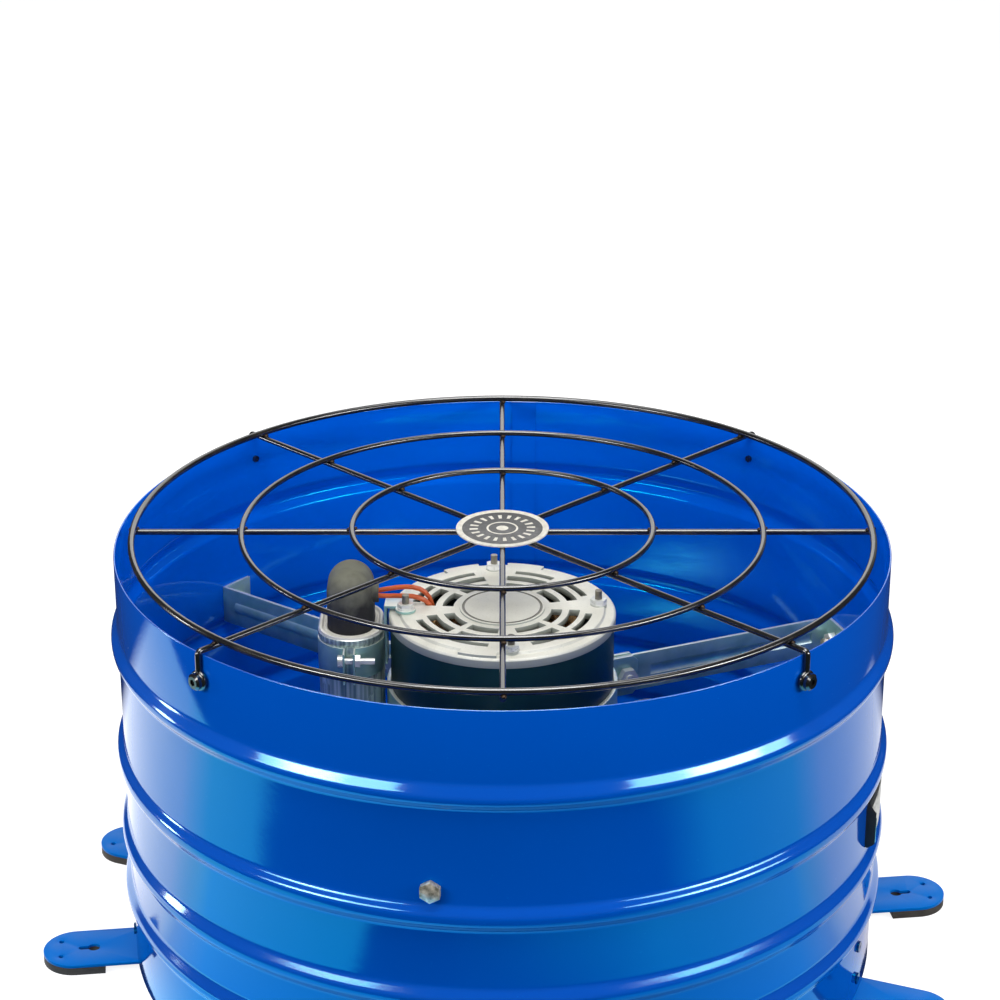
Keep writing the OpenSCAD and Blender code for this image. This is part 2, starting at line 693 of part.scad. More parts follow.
module arm_nuts() {
    nut_x = arm_out_r * cos(2.2) - seat;
    color("silver") each_arm() rotate([0, 0, -flange_bolt_turn]) translate([nut_x, 0, mount_z]) rotate([0, -90, 0]) hex_nut();
}

module at_can() rotate([0, 0, can_turn]) translate([can_out, 0, 0]) rotate([0, 0, guard_turn - can_turn]) children();

module capacitor_can() {
    rim_h = 2.4;
    rim_w = 2;
    color("silver") at_can() {
        r = can_w / 2;
        run = can_l - can_w;
        translate([0, 0, can_bot]) linear_extrude(can_h - rim_h) oval(r - 0.8, run);
        translate([0, 0, can_top - rim_h - 0.4]) linear_extrude(rim_h + 0.4) difference() {
            oval(r, run);
            oval(r - rim_w, run);
        }
        translate([0, 0, can_top - rim_h - 0.2]) linear_extrude(rim_h - 1.2) oval(r - 1, run);
    }
}

module capacitor_terminals() {
    blade_w = 6.3;
    blade_h = 12;
    color("silver") at_can() for (y = [-9, 9]) translate([0, y, can_top - 1.2]) {
        translate([0, 0, -0.15]) cylinder(r = 4.5, h = 2.4, $fn = 40);
        for (x = [-2.5, 2.5]) translate([x - 0.4, -blade_w / 2, 2]) cube([0.8, blade_w, blade_h]);
    }
}

// Sideways place of the boot's lead spout
lead_side = -4.4;

// The boot is a hollow rubber cap with a loaf-shaped top and a lead spout
module boot_solid(grow) {
    r = boot_w / 2 - grow;
    run = boot_l - boot_w;
    crown_z = can_top + boot_h - boot_w / 2;
    translate([0, 0, can_top - 1.2]) linear_extrude(crown_z - can_top + 1.2) oval(r, run);
    translate([0, 0, crown_z]) {
        rotate([90, 0, 0]) cylinder(r = r, h = run, center = true, $fn = 64);
        for (s = [-1, 1]) translate([0, s * run / 2, 0]) sphere(r, $fn = 64);
    }
}

module capacitor_boot() {
    boot_wall = 2.2;
    color("dimgray") at_can() difference() {
        union() {
            boot_solid(0);
            translate([boot_w / 2 - 2, lead_side, can_top + boot_h * 0.55]) rotate([0, 90, 0]) cylinder(r = 5.5, h = 5, $fn = 48);
        }
        translate([0, 0, -1]) boot_solid(boot_wall);
        translate([boot_w / 2 - 6, lead_side, can_top + boot_h * 0.55]) rotate([0, 90, 0]) cylinder(r = 3.9, h = 14, $fn = 48);
    }
}

module capacitor_strap() {
    r = can_w / 2 - 0.8 + strap_gap;
    run = can_l - can_w;
    ear_y = -(run / 2 + r);
    color("lightgray") at_can() translate([0, 0, strap_z]) difference() {
        union() {
            linear_extrude(strap_h) difference() {
                oval(r + strap_t, run);
                oval(r, run);
            }
            for (s = [-1, 1]) translate([s * (strap_ear_gap + strap_t) / 2 - strap_t / 2, ear_y - strap_ear_l, 0])
                cube([strap_t, strap_ear_l, strap_h]);
        }
        translate([-strap_ear_gap / 2, ear_y - 6, -1]) cube([strap_ear_gap, 8, strap_h + 2]);
        translate([0, ear_y - strap_ear_l / 2 - 0.8, strap_h - 6]) rotate([0, 90, 0])
            cylinder(r = strap_screw_d / 2 + hole_play, h = 30, center = true, $fn = 32);
    }
}

module strap_screw() {
    r = can_w / 2 - 0.8 + strap_gap;
    run = can_l - can_w;
    side = strap_ear_gap / 2 + strap_t + seat;
    color("silver") at_can() translate([0, -(run / 2 + r) - strap_ear_l / 2 - 0.8, strap_z + strap_h - 6]) rotate([0, 90, 0]) {
        translate([0, 0, -side - 3]) cylinder(r = strap_screw_d / 2, h = 22, $fn = 32);
        translate([0, 0, -side - 3]) cylinder(r = 3.8, h = 3, $fn = 40);
        translate([0, 0, side]) hex(7, 3);
    }
}

// The clip hooks from the through-bolt down behind the strap
module capacitor_clip() {
    leg_x = can_out - (can_w / 2 - 0.8 + strap_gap + strap_t) - 0.6;
    top_z = motor_top + 0.4 + seat;
    color("silver") difference() {
        union() {
            clip_arm(top_z, leg_x);
            at_clip() translate([leg_x - clip_t, -clip_w / 2, strap_z]) cube([clip_t, clip_w, top_z + clip_t - strap_z]);
        }
        rotate([0, 0, bolt_turn + 180]) translate([bolt_circle_r, 0, top_z - 1])
            cylinder(r = bolt_d / 2 + hole_play, h = clip_t + 2, $fn = 32);
    }
}
module at_clip() rotate([0, 0, can_turn]) children();
module clip_arm(top_z, leg_x) {
    rotate([0, 0, bolt_turn + 180]) translate([bolt_circle_r, 0, top_z]) cylinder(r = 6, h = clip_t, $fn = 48);
    at_clip() translate([bolt_circle_r - 4, -clip_w / 2, top_z]) cube([leg_x - bolt_circle_r + 4, clip_w, clip_t]);
}

// The two leads, from the boot's spout into a vent of the top bell
can_bearing = can_turn - guard_turn;
lead_start = [can_out * cos(can_bearing) + boot_w / 2 - 1, can_out * sin(can_bearing) + lead_side, can_top + boot_h * 0.55];
lead_vent_r = (vent_rows[1][0] + vent_rows[1][1]) / 2 * motor_r - 1;
lead_vent_turn = 169.8;
lead_end = [lead_vent_r * cos(lead_vent_turn), lead_vent_r * sin(lead_vent_turn), bell_in_z - 6];
function bezier(a, b, c, d, t) =
    a * pow(1 - t, 3) + b * 3 * t * pow(1 - t, 2) + c * 3 * t * t * (1 - t) + d * pow(t, 3);

module capacitor_leads() {
    color("orangered") rotate([0, 0, guard_turn]) for (s = [-1, 1]) {
        spread = [0, s * (lead_d / 2 + 0.2), s * 0.4];
        lift = [0, 0, s * 2.5];
        swept_tube([for (i = [0:lead_steps]) bezier(
            lead_start + spread,
            lead_start + spread + [16, 0, 0] + lift,
            lead_end + spread + [0.3, 0, 24] + lift,
            lead_end + spread, i / lead_steps)], lead_d / 2);
    }
}

// Blade frame: X along the blade, Y along its chord, Z square to the pitched plane
module at_blade(i) rotate([0, 0, 45 + 360 / blade_count * i]) translate([0, 0, fan_z]) rotate([blade_pitch, 0, 0]) children();

module blade_outline() {
    root = root_chord / 2;
    tip = tip_chord / 2;
    x1 = tip_r + 12;
    polygon(concat(
        arc_points(blade_root_r + 16, -root + 16, 16, 180, 270),
        arc_points(tip_r - 34, -tip + 18, 18, 270, 300),
        [[x1, -tip * 0.62], [x1, tip * 0.7]],
        arc_points(tip_r - 48, tip - 30, 30, 60, 100),
        arc_points(blade_root_r + 16, root - 16, 16, 90, 180)));
}

// Height of the sheet's underside over the spider's middle plane: its bow sits on the spider's two edges
sheet_lift = spider_t / 2 + seat + camber_r - sqrt(pow(camber_r, 2) - pow(spider_w / 2, 2));

// The sheet bows away from the spider, which carries it along the middle of its chord
module fan_blade(i) {
    color("gainsboro") intersection() {
        at_blade(i) difference() {
            intersection() {
                translate([0, 0, sheet_lift + blade_t - camber_r]) rotate([0, 90, 0]) difference() {
                    cylinder(r = camber_r, h = tip_r * 1.1, $fn = 180);
                    translate([0, 0, -1]) cylinder(r = camber_r - blade_t, h = tip_r * 1.2, $fn = 180);
                }
                translate([0, 0, -tip_chord / 3]) linear_extrude(tip_chord) blade_outline();
            }
            blade_holes();
        }
        translate([0, 0, fan_z - tip_chord / 2]) cylinder(r = tip_r, h = tip_chord, $fn = 180);
    }
}

blade_rivet_in = 12;
blade_rivet_step = 16;
blade_rivet_head = 1.4;
rivet_xs = [for (k = [0:2]) blade_root_r + blade_rivet_in + k * blade_rivet_step];
module blade_holes() for (x = rivet_xs) translate([x, 0, -hub_h / 2])
    cylinder(r = blade_rivet_d / 2 + seat, h = hub_h, $fn = 32);

module blade_rivets() {
    head_r = blade_rivet_d * 0.9;
    color("silver") for (i = [0:blade_count - 1]) at_blade(i) for (x = rivet_xs) translate([x, 0, 0]) {
        foot = -spider_t / 2 - seat;
        top = sheet_lift + blade_t + seat;
        translate([0, 0, foot - blade_rivet_head]) cylinder(r = head_r, h = blade_rivet_head, $fn = 40);
        translate([0, 0, foot - seat]) cylinder(r = blade_rivet_d / 2, h = top - foot + 2 * seat, $fn = 32);
        translate([0, 0, top]) cylinder(r = head_r, h = blade_rivet_head, $fn = 40);
    }
}

// The hub with its pitched spider arms, bored for the shaft and tapped for the set screw
module fan_hub() {
    color("lightgray") difference() {
        union() {
            translate([0, 0, hub_z]) cylinder(r = hub_r, h = hub_h, $fn = 96);
            for (i = [0:blade_count - 1]) at_blade(i) {
                translate([hub_r - 6, -spider_w / 2, -spider_t / 2]) cube([spider_r - spider_w / 2 - hub_r + 6, spider_w, spider_t]);
                translate([spider_r - spider_w / 2, 0, -spider_t / 2]) cylinder(r = spider_w / 2, h = spider_t, $fn = 64);
            }
        }
        translate([0, 0, hub_z - 1]) cylinder(r = bore_r, h = hub_h + 2, $fn = 64);
        radial_bore(set_screw_r + seat / 2, hub_z + set_screw_up, 0, hub_r + 2);
        for (i = [0:blade_count - 1]) at_blade(i) blade_holes();
    }
}

set_screw_r = 4;
set_screw_up = 6;
module hub_set_screw() {
    socket_af = 4;
    color("dimgray") translate([shaft_r - 0.8 + seat, 0, hub_z + set_screw_up]) rotate([0, 90, 0]) difference() {
        cylinder(r = set_screw_r, h = hub_r - shaft_r, $fn = 40);
        translate([0, 0, hub_r - shaft_r - 4]) hex(socket_af, 6);
    }
}

ring_z = spoke_top + seat;
module guard_ring_outer() color("black") ring(ring_outer_r, rim_wire, ring_z + rim_wire / 2);
module guard_ring_middle() color("black") ring(ring_middle_r, ring_wire, ring_z + ring_wire / 2);
module guard_ring_inner() color("black") ring(ring_inner_r, ring_wire, ring_z + ring_wire / 2);

module spoke(x0, x1) translate([x0, 0, spoke_z]) rotate([0, 90, 0]) cylinder(d = spoke_wire, h = x1 - x0, $fn = 32);

module guard_spokes() {
    color("black") for (i = [0:spoke_count - 1]) rotate([0, 0, guard_turn + 360 / spoke_count * i])
        spoke(spoke_in_r, ring_outer_r + rim_wire / 4);
}

module guard_legs() {
    drop = leg_screw_z + eye_r;
    color("black") each_leg() {
        spoke(spoke_in_r, leg_r - leg_bend_r);
        translate([leg_r - leg_bend_r, 0, spoke_z - leg_bend_r]) rotate([90, 0, 0])
            rotate_extrude(angle = 90, $fn = 48) translate([leg_bend_r, 0]) circle(d = spoke_wire, $fn = 32);
        translate([leg_r, 0, drop]) cylinder(d = spoke_wire, h = spoke_z - leg_bend_r - drop, $fn = 32);
        translate([leg_r, 0, leg_screw_z]) rotate([0, 90, 0]) rotate_extrude($fn = 48) translate([eye_r, 0]) circle(d = spoke_wire, $fn = 32);
    }
}

module guard_disc() {
    edge = 2.2;
    color("dimgray") translate([0, 0, spoke_top + seat]) difference() {
        cylinder(r = disc_r, h = disc_t, $fn = 96);
        translate([0, 0, disc_t - 0.3]) cylinder(r = disc_r - edge, h = 1, $fn = 96);
    }
}

module guard_screws() {
    head_x = leg_r + spoke_wire / 2 + seat;
    tip_x = inner_r - 1.5;
    color("black") each_leg() {
        radial_bore(leg_screw_d / 2, leg_screw_z, tip_x, head_x + 0.5);
        difference() {
            union() {
                radial_bore(leg_head_d / 2, leg_screw_z, head_x, head_x + leg_head_h * 0.6);
                translate([head_x + leg_head_h * 0.6, 0, leg_screw_z]) rotate([0, 90, 0])
                    cylinder(r1 = leg_head_d / 2, r2 = leg_head_d / 2 - 1.3, h = leg_head_h * 0.4, $fn = 48);
            }
            translate([head_x + leg_head_h - 1.4, 0, leg_screw_z]) rotate([0, 90, 0]) hex(3.4, 3);
        }
    }
}

housing_shell();
bracket(0);  // bracket_right_rear
bracket(1);  // bracket_left_rear
bracket(2);  // bracket_left_front
bracket(3);  // bracket_right_front
pad(0);  // pad_right_rear
pad(1);  // pad_left_rear
pad(2);  // pad_left_front
pad(3);  // pad_right_front
bracket_rivets();
motor_shell();
end_bell_top();
end_bell_bottom();
stator_core();
stator_windings();
rotor_core();
rotor_end_rings();
motor_shaft();
bearing_top();
bearing_bottom();
thrust_collars();
through_bolts();
through_bolt_nuts();
band_segment(0);  // band_segment_1
band_segment(1);  // band_segment_2
band_segment(2);  // band_segment_3
arm(0);  // arm_right
arm(1);  // arm_left
arm(2);  // arm_front
band_bolts();
band_nuts();
arm_bolts();
arm_nuts();
capacitor_can();
capacitor_terminals();
capacitor_boot();
capacitor_strap();
strap_screw();
capacitor_clip();
capacitor_leads();
fan_hub();
fan_blade(0);  // fan_blade_1
fan_blade(1);  // fan_blade_2
fan_blade(2);  // fan_blade_3
fan_blade(3);  // fan_blade_4
blade_rivets();
hub_set_screw();
guard_ring_outer();
guard_ring_middle();
guard_ring_inner();
guard_spokes();
guard_legs();
guard_disc();
guard_screws();
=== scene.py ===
"""Looks of a round attic fan: beaded blue housing, wire guard, motor on struts, padded brackets."""
import json
import math

import bpy
from mathutils import Matrix, Vector


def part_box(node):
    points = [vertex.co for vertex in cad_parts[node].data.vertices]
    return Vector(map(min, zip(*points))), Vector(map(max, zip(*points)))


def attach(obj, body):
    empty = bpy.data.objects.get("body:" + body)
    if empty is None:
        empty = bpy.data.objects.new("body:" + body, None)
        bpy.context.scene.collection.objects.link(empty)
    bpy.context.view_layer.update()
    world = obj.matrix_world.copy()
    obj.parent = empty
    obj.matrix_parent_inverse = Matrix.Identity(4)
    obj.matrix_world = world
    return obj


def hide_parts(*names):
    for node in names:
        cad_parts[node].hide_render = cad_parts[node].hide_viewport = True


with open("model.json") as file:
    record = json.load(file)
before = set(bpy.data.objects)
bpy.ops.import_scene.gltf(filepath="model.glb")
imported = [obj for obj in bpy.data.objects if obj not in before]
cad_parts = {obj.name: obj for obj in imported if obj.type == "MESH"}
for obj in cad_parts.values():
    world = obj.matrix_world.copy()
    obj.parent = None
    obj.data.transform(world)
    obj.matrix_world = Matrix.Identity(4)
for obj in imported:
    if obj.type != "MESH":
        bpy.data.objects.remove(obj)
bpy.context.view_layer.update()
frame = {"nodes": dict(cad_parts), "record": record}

# Driving sizes, in metres and radians
# A bead is its drop below the rim and the height of its upper flank
# A guard ring is its radius and the height of its welds over the rim
TURN = math.radians(7.3)
FLOOR_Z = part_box("pad_left_front")[0][2]
RIM_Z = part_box("housing_shell")[1][2]
SILL_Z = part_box("housing_shell")[0][2]
BOOT_Z = sum(corner[2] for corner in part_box("capacitor_boot")) / 2
WALL_R = 0.2286
SHEET = 0.001
BEAD_OUT = 0.004
BEAD_H = 0.015
BEADS = ((0.214, 0.0062), (0.175, 0.0058), (0.124, 0.0044), (0.051, 0.0062))
LOWER_FLANK = 0.005
BEAD_SOFT = 0.0017
BEND_STEPS = 4
WALL_STEPS = 240
RIM_ROUND = 0.00045
RIM_BAND = 0.0009
SEAM_START = math.radians(91.6)
SEAM_TURN = math.radians(4)
SEAM_GAP = 0.00005
GUARD_RINGS = ((0.218, 0.00365), (0.154, 0.0038), (0.089, 0.0038))
SPOKES = 8
WELD_R = 0.0015
WELD_OUT = 0.0019
WELD_ASIDE = 0.0007
BADGE_BOTTOM = 0.1655
BADGE_TOP = 0.133
BADGE_START = math.radians(-14.5)
BADGE_TURN = math.radians(39.5)
BADGE_INSET = math.radians(0.35)
BELL_GROOVE = (0.0226, 0.0242)
CAMERA_BACK = 1.425
CAMERA_SIDE = -0.0014
CAMERA_OVER_RIM = 0.612
CAMERA_PITCH = math.radians(22.48)
FOCAL_PIXELS = 2617
PHOTO_PIXELS = 1000
SENSOR = 36


def at_guard(x, y, z):
    """A point given square to the guard's spokes, with its height over the rim, in the row frame."""
    return Matrix.Rotation(TURN, 4, "Z") @ Vector((x, y, z + RIM_Z))


# Values and materials

class Value:
    """One output of a material node, with the sums that the finishes use."""

    def __init__(self, finish, socket):
        self.finish = finish
        self.socket = socket

    def math(self, operation, first, second):
        return self.finish.node("ShaderNodeMath", {"operation": operation}, {0: first, 1: second})

    def __add__(self, other):
        return self.math("ADD", self, other)

    __radd__ = __add__

    def __rsub__(self, other):
        return self.math("SUBTRACT", other, self)

    def __mul__(self, other):
        return self.math("MULTIPLY", self, other)

    __rmul__ = __mul__

    def __gt__(self, other):
        return self.math("GREATER_THAN", self, other)

    def __lt__(self, other):
        return self.math("LESS_THAN", self, other)


class Finish:
    """A material under construction: Object coordinates, noise, mixes and one shader."""

    def __init__(self, name):
        self.material = bpy.data.materials.new(name)
        self.material.use_nodes = True
        self.tree = self.material.node_tree
        self.tree.nodes.clear()
        self.output = self.tree.nodes.new("ShaderNodeOutputMaterial")

    def feed(self, socket, value):
        if isinstance(value, Value):
            self.tree.links.new(value.socket, socket)
        else:
            socket.default_value = value

    def node(self, kind, settings=None, inputs=None, output=0):
        made = self.tree.nodes.new(kind)
        for name, setting in (settings or {}).items():
            if name == "stops":
                self.set_stops(made.color_ramp, setting)
            else:
                setattr(made, name, setting)
        for name, value in (inputs or {}).items():
            self.feed(made.inputs[name], value)
        return Value(self, made.outputs[output])

    @staticmethod
    def set_stops(ramp, stops):
        while len(ramp.elements) < len(stops):
            ramp.elements.new(0.5)
        for element, (place, color) in zip(ramp.elements, stops):
            element.position = place
            element.color = color

    def place(self):
        return self.node("ShaderNodeTexCoord", output="Object")

    def stretched(self, scale):
        return self.node("ShaderNodeMapping", None, {"Vector": self.place(), "Scale": scale})

    def noise(self, scale, detail, roughness=0.5, vector=None):
        source = vector or self.place()
        return self.node("ShaderNodeTexNoise", None,
                         {"Vector": source, "Scale": scale, "Detail": detail, "Roughness": roughness})

    def ramp(self, value, stops):
        return self.node("ShaderNodeValToRGB", {"stops": stops}, {"Fac": value})

    def level(self, value, low, high):
        """Nought where the value is at low, one where it is at high, and even between them."""
        return self.node("ShaderNodeMapRange", {"clamp": True},
                         {"Value": value, "From Min": low, "From Max": high})

    def mix(self, factor, first, second):
        return self.node("ShaderNodeMix", {"data_type": "RGBA"}, {0: factor, 6: first, 7: second}, 2)

    def bump(self, height, strength, distance, normal=None):
        inputs = {"Height": height, "Strength": strength, "Distance": distance}
        if normal:
            inputs["Normal"] = normal
        return self.node("ShaderNodeBump", None, inputs)

    def axis(self, vector, name):
        return self.node("ShaderNodeSeparateXYZ", None, {"Vector": vector}, name)

    def shade(self, **inputs):
        shader = self.node("ShaderNodeBsdfPrincipled", None,
                           {name.replace("_", " "): value for name, value in inputs.items()})
        self.tree.links.new(shader.socket, self.output.inputs["Surface"])
        return self.material


def rgb(red, green, blue):
    return (red, green, blue, 1.0)


def gloss_paint(name, color, deep, crowns=(), inner_painted_light=None, gloss=1.8, rough=0.07):
    """Sprayed enamel: faint cloudiness, orange peel and dust specks under a glossy skin.

    Crowns are pairs of heights: the skin is thicker on them at the front, and on the rim. The inner face of
    the wall may be painted a lighter blue, standing in for the light that bounces inside the drum.
    """
    f = Finish(name)
    normal = f.node("ShaderNodeNewGeometry", output="Normal")
    coat = 0.0
    if crowns:
        height = f.axis(f.place(), "Z")
        facing_up = f.axis(normal, "Z") > 0.15
        front = f.level(f.axis(f.place(), "Y"), -0.075, -0.12)
        for low, high in crowns:
            coat = coat + (height > low) * (height < high) * facing_up * front * 0.45
        coat = coat + (height > RIM_Z - RIM_BAND) * facing_up
    cloud = f.level(f.noise(9, 3), 0.35, 0.65)
    peel = f.noise(420, 2)
    wave = f.noise(14, 1)
    specks = f.level(f.noise(900, 1), 0.74, 0.8)
    shape = f.bump(wave, 0.12 if crowns else 0.02, 0.004, f.bump(peel, 0.05, 0.0004))
    tone = f.mix(cloud * 0.35, color, deep)
    # Painted light: the inner face gets a lighter blue, standing in for the light bounced inside the drum
    if inner_painted_light:
        outwards = f.node("ShaderNodeVectorMath", {"operation": "DOT_PRODUCT"},
                          {0: normal, 1: f.stretched((1, 1, 0))}, "Value")
        tone = f.mix(outwards < 0, tone, f.mix(cloud * 0.35, inner_painted_light, color))
    return f.shade(Base_Color=tone, Roughness=rough + specks * 0.25, Normal=shape, IOR=gloss,
                   Specular_Tint=rgb(0.0, 0.75, 1), Coat_Weight=coat, Coat_IOR=1.9, Coat_Roughness=0.11)


def bare_metal(name, color, dark, rough=0.3, grain=(40, 40, 40), bump=0.06, metallic=1.0, drawn=False,
               patch=60, painted_top_light=None):
    """Plated or drawn metal: patches or draw lines in its tone, smears, and a painted highlight on faces
    turned up.
    """
    f = Finish(name)
    lines = f.noise(12, 3, 0.6, f.stretched(grain))
    mottle = f.level(lines if drawn else f.noise(patch, 4), 0.35, 0.7)
    smear = f.level(f.noise(25, 2), 0.4, 0.7)
    tone = f.mix(mottle, color, dark)
    # Painted highlight: faces turned up are blended to a lighter tone, as if lit from above
    if painted_top_light:
        up = f.axis(f.node("ShaderNodeNewGeometry", output="Normal"), "Z")
        tone = f.mix(f.level(up, 0.5, 0.9), tone, painted_top_light)
    return f.shade(Base_Color=tone, Roughness=rough + smear * 0.14 + lines * 0.08,
                   Metallic=metallic, Normal=f.bump(lines, bump, 0.0006))


def cast_metal(name, color, dark, shade, groove):
    """Cast aluminium: pitted skin, greyer in its pits, with painted shade on its upright faces and a dark
    ring of painted shade where a turned groove runs.
    """
    f = Finish(name)
    radius = f.node("ShaderNodeVectorMath", {"operation": "LENGTH"}, {0: f.stretched((1, 1, 0))}, "Value")
    # Painted shade: a dark ring where the turned groove sits
    groove_shade = (radius > groove[0]) * (radius < groove[1])
    # Painted shade: faces that stand upright blend to the shade colour, as if out of the light from above
    shaded_upright = f.level(f.axis(f.node("ShaderNodeNewGeometry", output="Normal"), "Z"), 0.75, 0.35)
    grain = f.noise(700, 4, 0.7)
    patches = f.level(f.noise(45, 3), 0.35, 0.75)
    pits = f.level(f.noise(1500, 2), 0.62, 0.72)
    tone = f.mix(shaded_upright * 0.85, f.mix(patches * 0.6, color, dark), shade)
    tone = f.mix(groove_shade * 0.7, f.mix(pits * 0.35, tone, rgb(0.3, 0.29, 0.26)), rgb(0.1, 0.09, 0.07))
    return f.shade(Base_Color=tone, Roughness=0.45 + grain * 0.2, Metallic=0.35,
                   Normal=f.bump(grain, 0.22, 0.0008))


def rubber(name, color, dusty, settled=None):
    """Moulded rubber: matt, scuffed, with a dusty bloom, or dust settled between two heights."""
    f = Finish(name)
    bloom = f.level(f.noise(38, 5, 0.65), 0.42, 0.72)
    if settled:
        bloom = f.level(f.axis(f.place(), "Z") + f.noise(110, 4) * 0.03, *settled)
    grain = f.noise(900, 3)
    return f.shade(Base_Color=f.mix(bloom, color, dusty), Roughness=0.62 + grain * 0.2,
                   Normal=f.bump(grain, 0.15, 0.0006))


def satin_paint(name, color, light):
    """Dipped motor enamel: thin, half gloss, with runs and rubs."""
    f = Finish(name)
    runs = f.level(f.noise(7, 3, 0.5, f.stretched((6, 6, 1))), 0.45, 0.75)
    grain = f.noise(600, 2)
    return f.shade(Base_Color=f.mix(runs * 0.5, color, light), Roughness=0.28 + grain * 0.16,
                   Normal=f.bump(grain, 0.08, 0.0005))


def wire_enamel(name):
    """Black dipped wire: glossy, with khaki dust on it."""
    f = Finish(name)
    dust = f.level(f.noise(55, 4, 0.6), 0.5, 0.8)
    grain = f.noise(500, 3)
    return f.shade(Base_Color=f.mix(dust * 0.35, rgb(0.008, 0.008, 0.009), rgb(0.07, 0.06, 0.045)),
                   Roughness=0.16 + dust * 0.12, Normal=f.bump(grain, 0.04, 0.0003), IOR=2.0)


def windings(name):
    """Lacquered copper strands, laid across the crown of end turns."""
    f = Finish(name)
    strands = f.node("ShaderNodeTexWave", {"wave_type": "BANDS", "bands_direction": "DIAGONAL"},
                     {"Vector": f.place(), "Scale": 420, "Distortion": 5, "Detail": 2})
    tone = f.ramp(strands, [(0.15, rgb(0.05, 0.02, 0.008)), (0.6, rgb(0.42, 0.19, 0.06)),
                            (1, rgb(0.75, 0.48, 0.2))])
    return f.shade(Base_Color=tone, Roughness=0.32, Metallic=0.55, Normal=f.bump(strands, 0.5, 0.0006))


def insulation(name, color, dark):
    """Drawn plastic insulation with a soft sheen and small scuffs."""
    f = Finish(name)
    scuff = f.level(f.noise(160, 4), 0.45, 0.75)
    return f.shade(Base_Color=f.mix(scuff * 0.4, color, dark), Roughness=0.36 + scuff * 0.2,
                   Normal=f.bump(f.noise(800, 2), 0.08, 0.0004))


def squared_to_guard(f):
    """The X and Y of a place, turned square to the guard's spokes."""
    place = f.node("ShaderNodeMapping", {"vector_type": "POINT"},
                   {"Vector": f.place(), "Rotation": (0, 0, -TURN)})
    return f.axis(place, "X"), f.axis(place, "Y")


def disc_print(name):
    """Dark enamel disc with a cream border, a ring of short radial bars, a thin ring and a dot."""
    f = Finish(name)
    x, y = squared_to_guard(f)
    radius = f.node("ShaderNodeMath", {"operation": "SQRT"}, {0: x * x + y * y})
    turn = f.node("ShaderNodeMath", {"operation": "ARCTAN2"}, {0: y, 1: x})
    bars = f.node("ShaderNodeMath", {"operation": "SINE"}, {0: turn * 20}) > 0.35
    border = radius > 0.0239
    bar_ring = (radius > 0.0145) * (radius < 0.0195) * bars
    thin_ring = (radius > 0.0082) * (radius < 0.0094)
    dot = radius < 0.0036
    marks = border + bar_ring + dot + thin_ring
    light = f.node("ShaderNodeMath", {"operation": "MINIMUM"}, {0: marks, 1: 1.0})
    wear = f.level(f.noise(300, 4), 0.35, 0.6)
    cream = f.mix(wear * 0.5, rgb(0.78, 0.75, 0.66), rgb(0.5, 0.47, 0.4))
    return f.shade(Base_Color=f.mix(light, rgb(0.05, 0.05, 0.052), cream), Roughness=0.35 + wear * 0.15,
                   Normal=f.bump(light, 0.2, 0.0003))


# The upper flank of each bead, from just under the edge of its crown to just over its own upper edge
BEAD_TOPS = [(RIM_Z - drop + BEAD_H / 2, flank) for drop, flank in BEADS]
CROWNS = [(top - flank - 0.0006, top + 0.0012) for top, flank in BEAD_TOPS]

# The last colour is the inner face of the wall, painted lighter to stand in for the light bounced inside
# the drum
paint = gloss_paint("blue_enamel", rgb(0.0, 0.092, 0.58), rgb(0.0, 0.082, 0.53), CROWNS,
                    rgb(0.0, 0.135, 0.85))
bracket_paint = gloss_paint("bracket_enamel", rgb(0.0, 0.175, 0.66), rgb(0.0, 0.155, 0.59), gloss=1.25,
                            rough=0.35)
# Painted shade: the rivet heads are near-black blue, standing in for the shade in their hollow centres
rivet_shade_finish = gloss_paint("rivet_painted_shade", rgb(0.0, 0.03, 0.15), rgb(0.0, 0.02, 0.09))
pad_finish = rubber("pad_rubber", rgb(0.03, 0.026, 0.02), rgb(0.08, 0.07, 0.055))
boot_finish = rubber("boot_rubber", rgb(0.012, 0.012, 0.014), rgb(0.19, 0.19, 0.14),
                     (BOOT_Z + 0.008, BOOT_Z + 0.034))
motor_finish = satin_paint("motor_enamel", rgb(0.003, 0.026, 0.028), rgb(0.008, 0.05, 0.055))
# The third colour is painted shade for the upright faces of the bell, the groove ring is painted shade too
casting = cast_metal("cast_aluminium", rgb(0.82, 0.81, 0.72), rgb(0.64, 0.62, 0.53), rgb(0.3, 0.33, 0.29),
                     BELL_GROOVE)
laminations = bare_metal("laminations", rgb(0.2, 0.2, 0.21), rgb(0.1, 0.1, 0.1), 0.4, (1, 1, 900))
copper = windings("copper_windings")
ring_metal = bare_metal("rotor_aluminium", rgb(0.7, 0.7, 0.72), rgb(0.5, 0.5, 0.52), 0.4)
shaft_metal = bare_metal("ground_steel", rgb(0.6, 0.6, 0.62), rgb(0.42, 0.42, 0.44), 0.2, (30, 30, 2))
bronze = bare_metal("bearing_bronze", rgb(0.55, 0.38, 0.14), rgb(0.35, 0.24, 0.09), 0.35)
zinc_bolt = bare_metal("zinc_fastener", rgb(0.86, 0.86, 0.82), rgb(0.6, 0.62, 0.58), 0.2, metallic=0.4)
